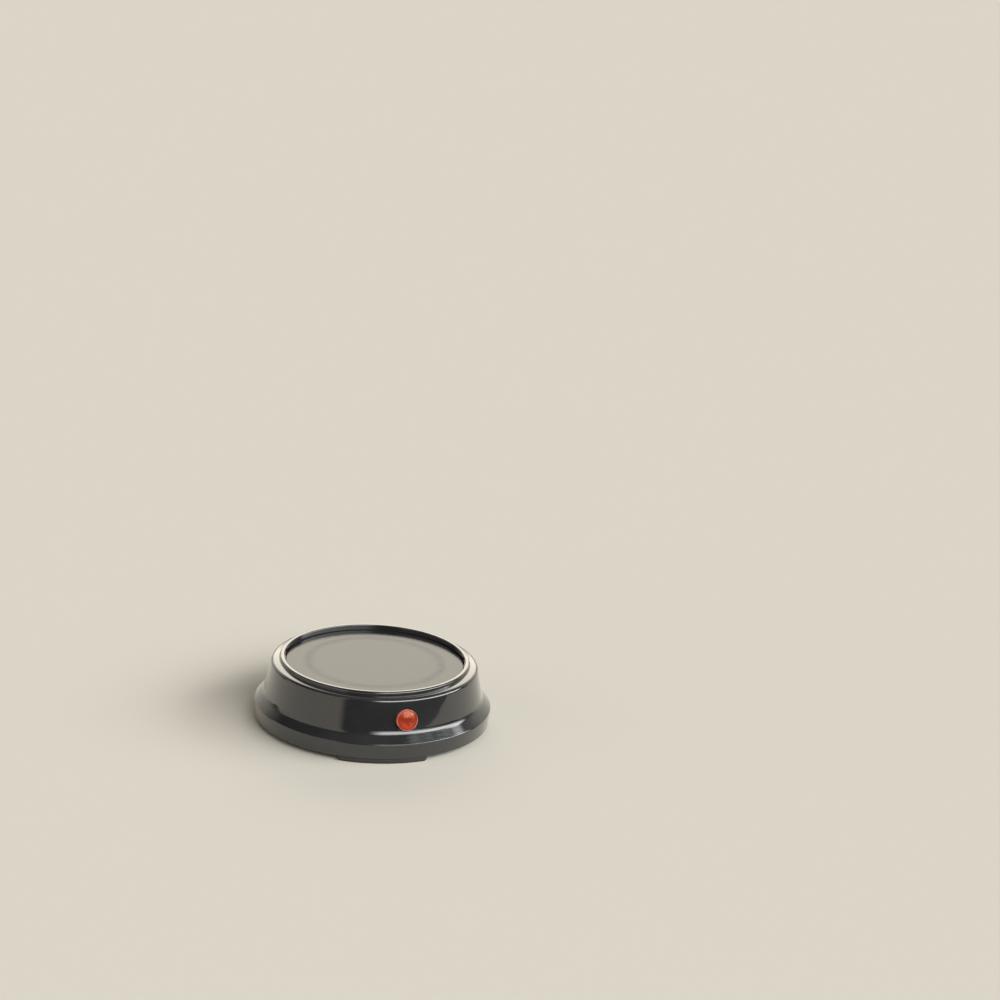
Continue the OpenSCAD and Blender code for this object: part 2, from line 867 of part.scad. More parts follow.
module clamp_washer() {
    color("silver")
        ring(stud_d / 2 + thread_gap, stud_d * 1.1, z_washer, washer_t);
}

module clamp_nut() {
    color("silver")
        translate([0, 0, z_nut])
            difference() {
                intersection() {
                    cylinder(r = nut_flats / 2 / cos(30), h = nut_t, $fn = 6);
                    lathe([
                        [0, 0, 0],
                        [nut_flats / 2, 0, 0],
                        [nut_flats / 2 / cos(30), nut_flats * 0.05, 0],
                        [nut_flats / 2 / cos(30), nut_t, 0],
                        [0, nut_t, 0]
                    ]);
                }
                translate([0, 0, -cut])
                    cylinder(r = stud_d / 2 + thread_gap, h = nut_t + 2 * cut);
            }
}

// ---- Thermal fuse -----------------------------------------------------------------

module on_fuse() {
    translate([0, fuse_y, z_fuse])
        rotate([0, 90, 0])
            children();
}

module thermal_fuse() {
    color([0.75, 0.68, 0.5])
        on_fuse() {
            translate([0, 0, -fuse_l / 2])
                rotate_extrude()
                    polygon(rounded([
                        [0, 0, 0],
                        [fuse_r * 0.6, 0, 0],
                        [fuse_r, fuse_r * 0.5, 0.3],
                        [fuse_r, fuse_l - 0.5, 0.3],
                        [0, fuse_l - 0.3, 0]
                    ]));
            translate([0, 0, -fuse_l / 2 - fuse_pin_l])
                cylinder(r = fuse_pin_r, h = fuse_l + 2 * fuse_pin_l);
        }
}

module fuse_sleeve() {
    sleeve_l = fuse_l + 3;
    color([0.93, 0.92, 0.88])
        on_fuse()
            ring(fuse_r + seat_gap, sleeve_r, -sleeve_l / 2, sleeve_l);
}

// A strap round the sleeve, with a foot to each side that lies on the shield
module fuse_clip() {
    color([0.75, 0.75, 0.77])
        translate([-clip_w / 2, fuse_y, z_fuse])
            difference() {
                union() {
                    rotate([0, 90, 0])
                        cylinder(r = strap_out, h = clip_w);
                    translate([0, -strap_out, 0])
                        cube([clip_w, 2 * strap_out, sleeve_r]);
                    translate([0, -strap_in - clip_foot, sleeve_r - clip_t])
                        cube([clip_w, 2 * (strap_in + clip_foot), clip_t]);
                }
                translate([-cut, 0, 0])
                    rotate([0, 90, 0])
                        cylinder(r = strap_in, h = clip_w + 2 * cut);
                translate([-cut, -strap_in, 0])
                    cube([clip_w + 2 * cut, 2 * strap_in, sleeve_r + cut]);
                translate([-cut, -strap_out, sleeve_r])
                    cube([clip_w + 2 * cut, 2 * strap_out, strap_out]);
                for (side = [-1, 1])
                    translate([clip_w / 2, side * rivet_y, sleeve_r - clip_t - cut])
                        cylinder(r = rivet_r + thread_gap, h = clip_t + 2 * cut);
            }
}

module clip_rivets() {
    head_r = 1.9;
    head_h = 0.8;
    color("silver")
        for (side = [-1, 1])
            translate([0, fuse_y + side * rivet_y, 0]) {
                translate([0, 0, z_shield - clip_t])
                    cylinder(r = rivet_r, h = clip_t + shield_t);
                translate([0, 0, z_shield - clip_t - head_h])
                    rotate_extrude()
                        polygon(rounded([
                            [0, 0, 0],
                            [head_r, 0, head_h * 0.8],
                            [head_r, head_h, 0],
                            [0, head_h, 0]
                        ]));
            }
}

// ---- Button and switch ---------------------------------------------------------------

// Red cap: a domed lens inside a rounded rim, a skirt, and a flange that stops it
module power_button() {
    lens_r = button_r - button_rim_w;
    rim_s = button_proud - button_dome;
    edge_s = rim_s - rim_step;
    rim_round = button_rim_w * 0.5;
    steps = 8;
    dome = [for (i = [0:steps])
        let (u = i / steps)
        [lens_r * u, button_proud - (button_proud - edge_s) * u * u, 0]];
    color([0.8, 0.12, 0.08, 0.8])
        on_button()
            lathe(concat(dome, [
                [lens_r, rim_s, rim_step * 0.9],
                [button_r, rim_s, rim_round],
                [button_r, s_stop, 0],
                [stop_r, s_stop, 0],
                [stop_r, s_cap, 0.2],
                [cavity_r, s_cap, 0],
                [cavity_r, button_proud - cap_face_t, 0.3],
                [0, button_proud - cap_face_t, 0]
            ]));
}

// White plunger: a disc in the cap's cavity and a stem that runs into the switch
module button_plunger() {
    color([0.92, 0.92, 0.9])
        on_button()
            lathe([
                [0, s_plunger + plunger_t, 0],
                [cavity_r - seat_gap, s_plunger + plunger_t, 0.2],
                [cavity_r - seat_gap, s_plunger, 0],
                [stem_r + 0.5, s_plunger, 0],
                [stem_r, s_plunger - 0.7, 0],
                [stem_r, s_carrier - stem_dip, 0.3],
                [0, s_carrier - stem_dip, 0]
            ]);
}

// Coil spring from the carrier to the plunger's disc, with closed end turns
module button_spring() {
    rest_l = s_plunger - s_guide - 2 * seat_gap - spring_wire;
    closed = spring_wire * 1.1;
    steps = 14;
    total = spring_turns * steps;
    function rise(t) =
        t < 1 ? closed * t
        : t > spring_turns - 1
            ? rest_l - closed * (spring_turns - t)
            : closed + (rest_l - 2 * closed) * (t - 1) / (spring_turns - 2);
    line = [for (i = [0:total])
        let (t = i / steps)
        [spring_r * cos(360 * t), spring_r * sin(360 * t),
         s_guide + seat_gap + spring_wire / 2 + rise(t)]];
    color("silver")
        on_button()
            tube(line, spring_wire / 2, 6);
}

// Carrier: a disc that closes the guide, two ears for its screws and two cheeks that
// grip the switch
module switch_bracket() {
    cheek_t = 0.8;
    cheek_l = switch_l * 0.7;
    ear_r = pillar_r;
    disc_r = guide_out_r - 0.3;
    color([0.86, 0.86, 0.84])
        on_button()
            difference() {
                union() {
                    translate([0, 0, s_carrier]) {
                        cylinder(r = disc_r, h = carrier_t);
                        translate([-pillar_x, -ear_r, 0])
                            cube([2 * pillar_x, 2 * ear_r, carrier_t]);
                        for (side = [-1, 1])
                            translate([side * pillar_x, 0, 0])
                                cylinder(r = ear_r, h = carrier_t);
                    }
                    for (side = [-1, 1])
                        translate([side * (switch_w / 2 + seat_gap + cheek_t / 2), 0,
                                   s_carrier - cheek_l / 2 + carrier_t / 2])
                            cube([cheek_t, switch_h * 0.8, cheek_l + carrier_t], center = true);
                }
                translate([0, 0, s_carrier - cut])
                    cylinder(r = stem_r + running_gap, h = carrier_t + 2 * cut);
                translate([0, lamp_y, s_carrier - cut])
                    cylinder(r = lamp_r + thread_gap, h = carrier_t + 2 * cut);
                for (side = [-1, 1])
                    translate([side * pillar_x, 0, s_carrier - cut])
                        cylinder(r = carrier_screw_r + 0.2, h = carrier_t + 2 * cut);
            }
}

module bracket_screws() {
    color("silver")
        for (side = [-1, 1])
            on_button()
                translate([side * pillar_x, 0, s_carrier])
                    pan_screw(carrier_screw_r, carrier_screw_l, carrier_head_r, carrier_head_h);
}

module switch_body() {
    corner = 0.8;
    half_w = switch_w / 2;
    half_h = switch_h / 2;
    color([0.15, 0.15, 0.16])
        on_button()
            difference() {
                translate([0, 0, s_switch])
                    linear_extrude(switch_l)
                        polygon(rounded([
                            [-half_w, -half_h, corner],
                            [half_w, -half_h, corner],
                            [half_w, half_h, corner],
                            [-half_w, half_h, corner]
                        ]));
                translate([0, 0, s_carrier - stem_dip - button_travel - 1])
                    cylinder(r = stem_r + running_gap, h = stem_dip + button_travel + 1 + cut);
                // a groove round the body, where its base plate is pressed in
                translate([0, 0, s_switch + 1.6])
                    difference() {
                        cube([switch_w + cut, switch_h + cut, 0.4], center = true);
                        cube([switch_w - 0.6, switch_h - 0.6, 1], center = true);
                    }
            }
}

blade_x = 2.3;

module switch_terminals() {
    blade_w = 2;
    blade_t = 0.5;
    color([0.85, 0.7, 0.35])
        on_button()
            for (side = [-1, 1])
                translate([side * blade_x - blade_t / 2, -blade_w / 2, s_blade])
                    cube([blade_t, blade_w, blade_l]);
}

module indicator_lamp() {
    pin_l = 1.2;
    color([0.95, 0.6, 0.4])
        on_button()
            translate([0, lamp_y, 0]) {
                translate([0, 0, s_carrier - lamp_base])
                    rotate_extrude()
                        polygon(rounded([
                            [0, 0, 0],
                            [lamp_r, 0, 0.2],
                            [lamp_r, lamp_base + carrier_t + lamp_tip, lamp_r * 0.7],
                            [0, lamp_base + carrier_t + lamp_tip, 0]
                        ]));
                for (side = [-1, 1])
                    translate([side * 0.7, 0, s_carrier - lamp_base - pin_l])
                        cylinder(r = 0.25, h = pin_l + 0.2);
            }
}

// The lamp's series resistor, lying under the switch
module lamp_resistor() {
    body_r = 1;
    body_l = 3.6;
    wire_r = 0.25;
    s_wire = s_carrier - lamp_base - 1.4;
    y = -switch_h / 2 - body_r - seat_gap;
    color([0.75, 0.62, 0.42])
        on_button()
            translate([0, y, s_wire - 0.8 - body_r])
                rotate([0, 90, 0]) {
                    translate([0, 0, -body_l / 2])
                        rotate_extrude()
                            polygon(rounded([
                                [0, 0, 0],
                                [body_r, 0, 0.3],
                                [body_r, body_l, 0.3],
                                [0, body_l, 0]
                            ]));
                    translate([0, 0, -body_l / 2 - 1.4])
                        cylinder(r = wire_r, h = body_l + 2.8);
                }
}

// ---- Wiring ------------------------------------------------------------------------------

lead_r = 0.8;
bend = 5 * lead_r;
lead_steps = 5;
splice_r = 3;
splice_l = 12;
splice_x = 13;
splice_y = 24;
z_splice = z_cover_top + splice_r + seat_gap;
z_barrel = z_track - barrel_l;
splice_mouth = splice_y - splice_l / 2;
fuse_end = fuse_l / 2 + fuse_pin_l;

module crimp_barrels() {
    color([0.8, 0.8, 0.82])
        for (x = [0, tab_x])
            translate([x, tab_reach - barrel_r, z_barrel])
                cylinder(r = barrel_r, h = barrel_l);
}

// Closed-end caps that take the cord's cores and the leads
module splice_caps() {
    color([0.9, 0.88, 0.8])
        for (side = [-1, 1])
            translate([side * splice_x, splice_mouth, z_splice])
                rotate([-90, 0, 0])
                    difference() {
                        rotate_extrude()
                            polygon(rounded([
                                [0, 0, 0],
                                [splice_r, 0, 0.3],
                                [splice_r, splice_l * 0.4, 0],
                                [splice_r * 0.8, splice_l * 0.5, 0],
                                [splice_r * 0.8, splice_l, 0.8],
                                [0, splice_l, 0]
                            ]));
                        translate([0, 0, -cut])
                            cylinder(r = splice_r - 0.7, h = splice_l * 0.35 + cut);
                    }
}

module lead(points) {
    tube(smooth(points, lead_steps), lead_r, 8);
}

// From the outer ring's tab down and forward to the fuse
module lead_element_fuse() {
    y_tab = tab_reach - barrel_r;
    color([0.85, 0.85, 0.82])
        lead([
            [tab_x, y_tab, z_barrel - running_gap],
            [tab_x, y_tab, z_barrel - bend],
            [tab_x + 1.5 * bend, y_tab - 1.75 * bend, z_fuse - 0.75 * bend],
            [fuse_end + 1.75 * bend, fuse_y + 1.25 * bend, z_fuse - 0.5 * bend],
            [fuse_end + 0.75 * bend, fuse_y, z_fuse],
            [fuse_end + running_gap, fuse_y, z_fuse]
        ]);
}

// From the middle tab round the left side to the switch
module lead_element_switch() {
    y_tab = tab_reach - barrel_r;
    end = button_point(-blade_x, 0, s_blade - running_gap);
    near = button_point(-blade_x, 0, s_blade - bend / 2);
    side_x = -0.8 * shield_r;
    color([0.85, 0.85, 0.82])
        lead([
            [0, y_tab, z_barrel - running_gap],
            [0, y_tab, z_barrel - bend],
            [side_x * 0.37, y_tab - bend, z_fuse - bend],
            [side_x + 0.5 * bend, fuse_y, z_fuse - 1.5 * bend],
            [side_x, 0, z_fuse - 1.75 * bend],
            [side_x + 2.3 * bend, -3.5 * bend, z_fuse - 1.5 * bend],
            near - [bend, 0, bend / 4],
            near,
            end
        ]);
}

// From the fuse down into the left splice cap
module lead_fuse_splice() {
    color([0.85, 0.85, 0.82])
        lead([
            [-fuse_end - running_gap, fuse_y, z_fuse],
            [-fuse_end - 0.75 * bend, fuse_y, z_fuse],
            [-splice_x - 0.75 * bend, fuse_y - 1.5 * bend, z_fuse - 1.5 * bend],
            [-splice_x - 0.25 * bend, splice_mouth - 1.75 * bend, z_splice + bend / 4],
            [-splice_x, splice_mouth - bend / 2, z_splice],
            [-splice_x, splice_mouth + 0.75 * bend, z_splice]
        ]);
}

// From the switch round the right side into the right splice cap
module lead_switch_splice() {
    end = button_point(blade_x, 0, s_blade - running_gap);
    near = button_point(blade_x, 0, s_blade - bend / 2);
    color([0.1, 0.1, 0.1])
        lead([
            end,
            near,
            near + [1.25 * bend, bend / 4, -bend / 2],
            [splice_x + 1.75 * bend, -2.5 * bend, z_splice + 0.75 * bend],
            [splice_x + 1.5 * bend, bend / 2, z_splice + 0.4 * bend],
            [splice_x + bend / 4, splice_mouth - 1.5 * bend, z_splice],
            [splice_x, splice_mouth - bend / 2, z_splice],
            [splice_x, splice_mouth + 0.75 * bend, z_splice]
        ]);
}

housing();
warming_plate();
plate_gasket();
mica_upper();
heating_element();
mica_lower();
pressure_plate();
insulation_disc();
heat_shield();
clamp_bracket();
clamp_washer();
clamp_nut();
thermal_fuse();
fuse_sleeve();
fuse_clip();
clip_rivets();
power_button();
button_plunger();
button_spring();
switch_bracket();
bracket_screws();
switch_body();
switch_terminals();
indicator_lamp();
lamp_resistor();
crimp_barrels();
lead_element_fuse();
lead_element_switch();
lead_fuse_splice();
lead_switch_splice();
splice_caps();
cord_gland();
base_cover();
cover_screws();
foot_pads();
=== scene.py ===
import json
import math

import bpy
import numpy as np
from mathutils import Matrix, Vector


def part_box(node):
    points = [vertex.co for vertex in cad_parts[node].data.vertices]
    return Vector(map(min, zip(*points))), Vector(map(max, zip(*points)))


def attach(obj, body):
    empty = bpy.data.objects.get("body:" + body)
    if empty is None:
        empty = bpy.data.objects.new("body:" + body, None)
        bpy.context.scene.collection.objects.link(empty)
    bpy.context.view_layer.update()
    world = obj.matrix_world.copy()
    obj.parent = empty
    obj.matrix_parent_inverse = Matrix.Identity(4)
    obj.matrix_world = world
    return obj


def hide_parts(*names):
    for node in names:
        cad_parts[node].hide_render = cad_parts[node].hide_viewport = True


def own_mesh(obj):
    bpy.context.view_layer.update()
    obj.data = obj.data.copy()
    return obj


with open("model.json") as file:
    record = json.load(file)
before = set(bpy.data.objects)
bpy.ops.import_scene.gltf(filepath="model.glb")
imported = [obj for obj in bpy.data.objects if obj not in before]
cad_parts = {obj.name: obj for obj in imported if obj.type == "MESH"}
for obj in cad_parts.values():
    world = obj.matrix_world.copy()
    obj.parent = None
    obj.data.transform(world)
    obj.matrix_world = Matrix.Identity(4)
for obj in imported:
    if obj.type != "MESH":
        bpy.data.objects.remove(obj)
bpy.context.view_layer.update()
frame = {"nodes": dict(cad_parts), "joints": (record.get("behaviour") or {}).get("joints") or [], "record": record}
NODES = frame["nodes"]
RECORD = frame["record"]
MM = 0.001
scene = bpy.context.scene

# ---- Camera ---------------------------------------------------------------------------------

CAM_AZIMUTH = math.radians(-18.5)
CAM_ELEVATION = 0.37731              # in radians
CAM_ROLL = -0.05126                  # in radians
CAM_DISTANCE = 1.8657
CAM_FOCAL = 4.0                      # in image widths
CAM_SENSOR = 36.0                    # in millimetres
CAM_NEAREST = 0.01
CAM_FARTHEST = 60.0
AIM_POINT = Vector((0.0, 0.0, 0.015))
AIM_PIXEL = (373.33, 689.08)         # where the aim point lands in the 1000 x 1000 image
IMAGE = 1000.0

# Level directions as the camera sees them
RIGHT = Vector((math.cos(CAM_AZIMUTH), math.sin(CAM_AZIMUTH), 0))
AHEAD = Vector((-math.sin(CAM_AZIMUTH), math.cos(CAM_AZIMUTH), 0))
UP = Vector((0, 0, 1))


def camera():
    """Camera at the photograph's angle, turned so that the aim point lands on its pixel."""
    back = UP * math.sin(CAM_ELEVATION) - AHEAD * math.cos(CAM_ELEVATION)
    forward = -back
    level = Matrix((RIGHT, RIGHT.cross(forward), forward))
    c, s = math.cos(CAM_ROLL), math.sin(CAM_ROLL)
    roll = Matrix(((c, -s, 0), (s, c, 0), (0, 0, 1)))
    focal = CAM_FOCAL * IMAGE
    ray = Vector(((AIM_PIXEL[0] - IMAGE / 2) / focal, (IMAGE / 2 - AIM_PIXEL[1]) / focal, 1))
    turn = Vector((0, 0, 1)).rotation_difference(ray.normalized()).to_matrix()
    view = turn @ roll @ level
    world = Matrix((view[0], view[1], -view[2])).transposed().to_4x4()
    world.translation = AIM_POINT + back * CAM_DISTANCE
    cam = bpy.data.objects.new("camera", bpy.data.cameras.new("camera"))
    cam.matrix_world = world
    cam.data.sensor_width = CAM_SENSOR
    cam.data.lens = CAM_SENSOR * CAM_FOCAL
    cam.data.clip_start = CAM_NEAREST
    cam.data.clip_end = CAM_FARTHEST
    scene.collection.objects.link(cam)
    scene.camera = cam


camera()
scene.view_settings.view_transform = "Standard"

# ---- Node helpers ---------------------------------------------------------------------------

WAVE_LENGTH = 0.32          # about one wave of Blender's wave texture at scale 1


def rgba(colour):
    return (*colour, 1.0)


class Tree:
    """Short names for the shader nodes that this scene uses."""

    def __init__(self, tree):
        self.tree = tree

    def node(self, kind, **values):
        n = self.tree.nodes.new(kind)
        for k, v in values.items():
            setattr(n, k, v)
        return n

    def put(self, socket, value):
        """Links a socket to another one, or sets it to a value."""
        if isinstance(value, bpy.types.NodeSocket):
            self.tree.links.new(value, socket)
        else:
            socket.default_value = value

    def math(self, op, a, b=0.0):
        n = self.node("ShaderNodeMath", operation=op)
        self.put(n.inputs[0], a)
        self.put(n.inputs[1], b)
        return n.outputs[0]

    def plus(self, a, b):
        return self.math("ADD", a, b)

    def times(self, a, b):
        return self.math("MULTIPLY", a, b)

    def length(self, a, b):
        """Length of a flat vector."""
        return self.math("SQRT", self.plus(self.times(a, a), self.times(b, b)))

    def step(self, value, low, high, to_low=0.0, to_high=1.0):
        """Smooth step as value goes from low to high."""
        n = self.node("ShaderNodeMapRange", interpolation_type="SMOOTHSTEP")
        self.put(n.inputs[0], value)
        for i, v in enumerate((low, high, to_low, to_high)):
            n.inputs[i + 1].default_value = v
        return n.outputs[0]

    def fall(self, value, low, high):
        """Smooth step from 1 down to 0 as value goes from low to high."""
        return self.step(value, low, high, 1.0, 0.0)

    def band(self, value, low, high, soft):
        """1 between low and high, with an edge at both that is soft to each side."""
        rise = self.step(value, low - soft, low + soft)
        return self.times(rise, self.fall(value, high - soft, high + soft))

    def mix(self, share, a, b):
        """Colour a, with a share of colour b."""
        n = self.node("ShaderNodeMix", data_type="RGBA")
        self.put(n.inputs[0], share)
        self.put(n.inputs[6], a)
        self.put(n.inputs[7], b)
        return n.outputs[2]

    def split(self, vector):
        n = self.node("ShaderNodeSeparateXYZ")
        self.put(n.inputs[0], vector)
        return n.outputs

    def join(self, x, y):
        n = self.node("ShaderNodeCombineXYZ")
        self.put(n.inputs[0], x)
        self.put(n.inputs[1], y)
        return n.outputs[0]

    def where(self, stretch=(1, 1, 1)):
        """Place on the object, in millimetres, times a stretch along each axis."""
        n = self.node("ShaderNodeMapping")
        self.put(n.inputs[0], self.node("ShaderNodeTexCoord").outputs["Object"])
        n.inputs["Scale"].default_value = [v / MM for v in stretch]
        return n.outputs[0]

    def noise(self, where, size, detail=3.0):
        n = self.node("ShaderNodeTexNoise")
        self.put(n.inputs["Vector"], where)
        n.inputs["Scale"].default_value = 1 / size
        n.inputs["Detail"].default_value = detail
        return n.outputs[0]

    def cells(self, where, size, output="Distance"):
        n = self.node("ShaderNodeTexVoronoi")
        self.put(n.inputs["Vector"], where)
        n.inputs["Scale"].default_value = 1 / size
        return n.outputs[output]

    def lines(self, along, size):
        """Uneven lines across a direction."""
        n = self.node("ShaderNodeTexNoise", noise_dimensions="1D")
        self.put(n.inputs["W"], along)
        n.inputs["Scale"].default_value = 1 / size
        return n.outputs[0]

    def stripes(self, where, size, axis):
        """Even stripes across an axis."""
        n = self.node("ShaderNodeTexWave", bands_direction=axis)
        self.put(n.inputs["Vector"], where)
        n.inputs["Scale"].default_value = WAVE_LENGTH / size
        return n.outputs[1]

    def bump(self, height, lift, under=None):
        """Relief of a height field from 0 to 1 that is lift millimetres high."""
        n = self.node("ShaderNodeBump")
        n.inputs["Distance"].default_value = lift * MM
        self.put(n.inputs["Height"], height)
        if under:
            self.put(n.inputs["Normal"], under)
        return n.outputs[0]


# ---- Light ----------------------------------------------------------------------------------

# The studio is painted on the world. Azimuths are in degrees to the right of the camera's
# side of the object, and elevations are in degrees above the horizon. ENDS and HEIGHTS are
# the two angles that a panel lies between, with soft edges. Each other pair is the two
# angles between which one edge of it fades. A slope is what an edge falls by for each
# degree of azimuth.
SOFT = 5.0                       # half the width of a panel's soft edge
ROOM = (0.035, 0.035, 0.037)
PALE = (0.708, 0.669, 0.571)     # the background, as the lit floor renders
BACKDROP_END = (108, 140)
BACKDROP_TOP = (30, 44)

OVERHEAD_LIGHT = (0.3, 0.3, 0.3)
OVERHEAD_EDGE = (50, 90)

LEFT_LIGHT = (0.74, 0.68, 0.58)
LEFT_ENDS = (-112, -31)
LEFT_TOP = (54, 63)
LEFT_SLOPE = -0.27

WASH_LIGHT = (1.0, 1.06, 1.03)
WASH_ENDS = (52, 118)
WASH_HEIGHTS = (69, 82)
WASH_SOFT = 3
WASH_SLOPE = 0.33
STREAKS_UP = 0.5                 # streaks in each degree of elevation
STREAKS_ROUND = 0.06             # streaks in each degree of azimuth
STREAK_EDGE = (0.35, 0.65)       # of the noise that breaks the wash

KEY_LIGHT = (6.6, 6.7, 6.5)
KEY_NEAR_END = (-4, 17)
KEY_FAR_END = (105, 115)
KEY_FOOT = (13, 28)
KEY_FOOT_SLOPE = 0.05
KEY_TOP = (45, 55)
KEY_TOP_SLOPE = 0.13

BACK_LIGHT = (3.0, 2.78, 2.36)
BACK_END = (125, 178)
BACK_HEIGHTS = (13, 34)


class Sky:
    """Where the directions of the world lie in the studio."""

    def __init__(self, t):
        self.t = t
        x, y, z = t.split(t.node("ShaderNodeTexCoord").outputs["Generated"])
        front = t.plus(t.times(x, -AHEAD.x), t.times(y, -AHEAD.y))
        right = t.plus(t.times(x, RIGHT.x), t.times(y, RIGHT.y))
        self.azimuth = t.math("DEGREES", t.math("ARCTAN2", right, front))
        self.side = t.math("ABSOLUTE", self.azimuth)
        self.elevation = t.math("DEGREES", t.math("ARCSINE", z))

    def tipped(self, slope):
        """Elevation, for an edge that falls by slope for each degree of azimuth."""
        return self.t.plus(self.elevation, self.t.times(self.azimuth, slope))


def overhead(t, sky):
    """Dim light from above."""
    return t.step(sky.elevation, *OVERHEAD_EDGE)


def left_panel(t, sky):
    """Dim warm panel on the left, lower towards its far end."""
    top = t.fall(sky.tipped(LEFT_SLOPE), *LEFT_TOP)
    return t.times(t.band(sky.azimuth, *LEFT_ENDS, SOFT), top)


def wash(t, sky):
    """Broken wash of light high on the right."""
    height = sky.tipped(WASH_SLOPE)
    across = t.band(sky.azimuth, *WASH_ENDS, 2 * SOFT)
    patch = t.times(across, t.band(height, *WASH_HEIGHTS, WASH_SOFT))
    streaks = t.node("ShaderNodeTexNoise", noise_dimensions="2D")
    place = t.join(t.times(height, STREAKS_UP), t.times(sky.azimuth, STREAKS_ROUND))
    t.put(streaks.inputs["Vector"], place)
    t.put(streaks.inputs["Scale"], 1.0)
    return t.times(patch, t.step(streaks.outputs[0], *STREAK_EDGE))


def key_panel(t, sky):
    """Bright panel on the right, lower towards its far end."""
    ends = t.times(t.step(sky.azimuth, *KEY_NEAR_END), t.fall(sky.azimuth, *KEY_FAR_END))
    foot = t.step(sky.tipped(KEY_FOOT_SLOPE), *KEY_FOOT)
    top = t.fall(sky.tipped(KEY_TOP_SLOPE), *KEY_TOP)
    return t.times(ends, t.times(foot, top))


def back_panel(t, sky):
    """Panel behind the object that fades towards its ends."""
    return t.times(t.step(sky.side, *BACK_END), t.band(sky.elevation, *BACK_HEIGHTS, SOFT))


def backdrop(t, sky):
    """Pale backdrop behind the object, but for the panel in front of it."""
    behind = t.times(t.step(sky.side, *BACKDROP_END), t.fall(sky.elevation, *BACKDROP_TOP))
    return t.times(behind, t.math("SUBTRACT", 1.0, back_panel(t, sky)))


PANELS = [
    (overhead, OVERHEAD_LIGHT),
    (left_panel, LEFT_LIGHT),
    (wash, WASH_LIGHT),
    (key_panel, KEY_LIGHT),
    (back_panel, BACK_LIGHT),
]


def studio():
    """Dim room with its panels. The camera sees the backdrop's colour all round."""
    world = bpy.data.worlds.new("studio")
    scene.world = world
    world.use_nodes = True
    world.node_tree.nodes.clear()
    t = Tree(world.node_tree)
    sky = Sky(t)

    colour = rgba(ROOM)
    for panel, light in PANELS:
        colour = t.mix(panel(t, sky), colour, rgba(light))
    lit = t.node("ShaderNodeBackground")
    t.put(lit.inputs["Color"], colour)
    pale = t.node("ShaderNodeBackground")
    t.put(pale.inputs["Color"], rgba(PALE))

    path = t.node("ShaderNodeLightPath").outputs
    mirrored = t.math("MAXIMUM", path["Is Glossy Ray"], path["Is Transmission Ray"])
    shown = t.math("MAXIMUM", t.times(mirrored, backdrop(t, sky)), path["Is Camera Ray"])
    mixed = t.node("ShaderNodeMixShader")
    t.put(mixed.inputs[0], shown)
    t.put(mixed.inputs[1], lit.outputs[0])
    t.put(mixed.inputs[2], pale.outputs[0])
    t.put(t.node("ShaderNodeOutputWorld").inputs["Surface"], mixed.outputs[0])


studio()

# ---- Floor ----------------------------------------------------------------------------------

# Corners in metres to the right of the object and behind it, as the camera sees it. The
# front and right edges lie just out of view.
FLOOR = [(-0.60, -0.32), (0.27, -0.32), (0.85, 4.0), (-1.6, 4.0)]
FLOOR_COLOUR = (0.74, 0.70, 0.63)
FLOOR_ROUGHNESS = 0.9


def floor():
    """Plain pale floor with no gloss, so that no panel shows in it."""
    corners = [tuple(x * RIGHT + y * AHEAD) for x, y in FLOOR]
    mesh = bpy.data.meshes.new("floor")
    mesh.from_pydata(corners, [], [range(len(corners))])
    obj = bpy.data.objects.new("floor", mesh)
    scene.collection.objects.link(obj)
    mat = bpy.data.materials.new("floor")
    mat.use_nodes = True
    shader = mat.node_tree.nodes["Principled BSDF"].inputs
    shader["Base Color"].default_value = rgba(FLOOR_COLOUR)
    shader["Roughness"].default_value = FLOOR_ROUGHNESS
    shader["Specular IOR Level"].default_value = 0.0
    mesh.materials.append(mat)


floor()

# ---- Return spring --------------------------------------------------------------------------

SPRING_WIRE = 0.5 * MM
SPRING_TURNS = 6
SPRING_STEPS = 24           # points in each turn
END_PITCH = 1.1             # rise of the closed turn at each end, in wires
SIDEWAYS = Vector((1, 0, 0))


def spring_route(press):
    """Points of the coil from its fixed end outward, with closed end turns."""
    inward = Vector(press["axis"])
    across = inward.cross(SIDEWAYS)
    low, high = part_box("power_button")
    middle = (low + high) / 2
    along = [v.co.dot(inward) for v in NODES["button_spring"].data.vertices]
    seat = max(along) - SPRING_WIRE / 2
    span = max(along) - min(along) - SPRING_WIRE
    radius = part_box("button_spring")[1].x - SPRING_WIRE / 2
    closed = END_PITCH * SPRING_WIRE
    turns = (0, 1, SPRING_TURNS - 1, SPRING_TURNS)
    rises = (0, closed, span - closed, span)
    points = []
    for i in range(SPRING_TURNS * SPRING_STEPS + 1):
        turn = i / SPRING_STEPS
        rise = np.interp(turn, turns, rises)
        angle = 2 * math.pi * turn
        centre = middle + inward * (seat - rise - middle.dot(inward))
        spoke = math.cos(angle) * SIDEWAYS + math.sin(angle) * across
        points.append(centre + radius * spoke)
    return points


def wire(points):
    """Mesh of round spring wire along the points."""
    curve = bpy.data.curves.new("coil", "CURVE")
    curve.dimensions = "3D"
    curve.bevel_depth = SPRING_WIRE / 2
    curve.bevel_resolution = 2
    curve.use_fill_caps = True
    spline = curve.splines.new("POLY")
    spline.points.add(len(points) - 1)
    for knot, place in zip(spline.points, points):
        knot.co = (*place, 1)
    path = bpy.data.objects.new("coil", curve)
    scene.collection.objects.link(path)
    shaped = path.evaluated_get(bpy.context.evaluated_depsgraph_get())
    mesh = bpy.data.meshes.new_from_object(shaped)
    bpy.data.objects.remove(path)
    return mesh


def return_spring():
    """Coil of round wire in place of the CAD one, built at rest, though the real spring shortens as the button
    goes in.
    """
    press = frame["joints"][0]
    points = spring_route(press)
    coil = bpy.data.objects.new("return_spring", wire(points))
    scene.collection.objects.link(coil)
    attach(coil, "base")
    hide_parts("button_spring")
    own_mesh(coil)
    return coil


spring = return_spring()

# ---- Grains ---------------------------------------------------------------------------------

